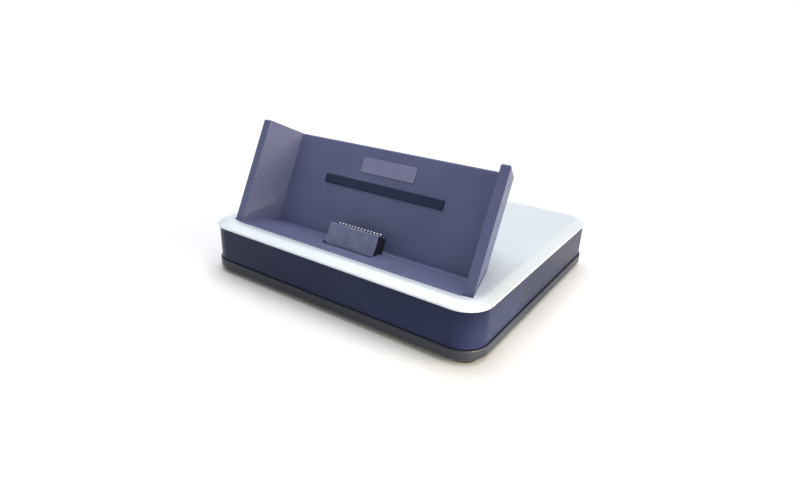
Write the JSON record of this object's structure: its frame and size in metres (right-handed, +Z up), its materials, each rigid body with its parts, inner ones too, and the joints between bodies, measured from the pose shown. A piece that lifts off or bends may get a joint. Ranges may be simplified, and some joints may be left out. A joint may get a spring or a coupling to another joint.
{
  "type": "desktop docking cradle",
  "caption": "Low desktop docking cradle for a pocket computer: silver-topped base, tilted backrest with flared side fins, rocking connector in the tray and rear sockets.",
  "frame": {"origin": "on the desk, under the centre of the base's outline (bounding box bottom centre)", "axes": "+X to the right of someone facing the cradle, +Y to the back, +Z up"},
  "size_m": [0.108, 0.095, 0.0515],
  "materials": {
    "dark_shell": "fine moulded texture",
    "gloss_band": "gloss dark navy",
    "silver_top": "pale silver paint on plastic, satin",
    "cradle_plastic": "blue-grey satin plastic",
    "pad_rubber": "matte rubber",
    "badge": "satin, blank",
    "connector_plastic": "glass-filled nylon",
    "connector_metal": "tinned steel",
    "contact_metal": "tin-plated",
    "sheet_steel": "zinc-plated",
    "pin_steel": "ground steel",
    "screw_steel": "blackened steel",
    "flex_film": "amber polyimide",
    "board_laminate": "solder mask",
    "chip_plastic": "moulded epoxy",
    "capacitor_can": "drawn can",
    "feet_rubber": "matte rubber"
  },
  "bodies": {
    "base": {"bottom_cover": "dark_shell", "side_band": "gloss_band", "top_cover": "silver_top", "cradle_shell": "cradle_plastic", "backrest_rear_cover": "cradle_plastic", "rest_pad": "pad_rubber", "blank_badge": "badge", "carriage_bracket": "sheet_steel", "carriage_pivot_pin": "pin_steel", "pivot_clips": "pin_steel", "carriage_springs": "pin_steel", "bracket_screws": "screw_steel", "connector_flex": "flex_film", "flex_socket": "connector_plastic", "main_board": "board_laminate", "board_chips": "chip_plastic", "board_capacitors": "capacitor_can", "board_screws": "screw_steel", "usb_socket_shell": "connector_metal", "usb_socket_tongue": "connector_plastic", "dc_jack_body": "connector_plastic", "dc_jack_pin": "contact_metal", "ballast_plate": "sheet_steel", "rubber_feet": "feet_rubber", "housing_screws": "screw_steel", "cradle_screws": "screw_steel", "backrest_screws": "screw_steel"},
    "connector": {"connector_carriage": "connector_plastic", "connector_shield": "connector_metal", "connector_contacts": "contact_metal"}
  },
  "joints": [
    {"name": "connector_rock", "type": "hinge", "parent": "base", "child": "connector", "pos_m": [0, -0.03501, 0.01145], "axis": [1, 0, 0], "range_deg": [0, 8], "stiffness_Nm_per_rad": 0.02, "springref_deg": -11.46, "deforming": ["carriage_springs", "connector_flex"]}
  ]
}
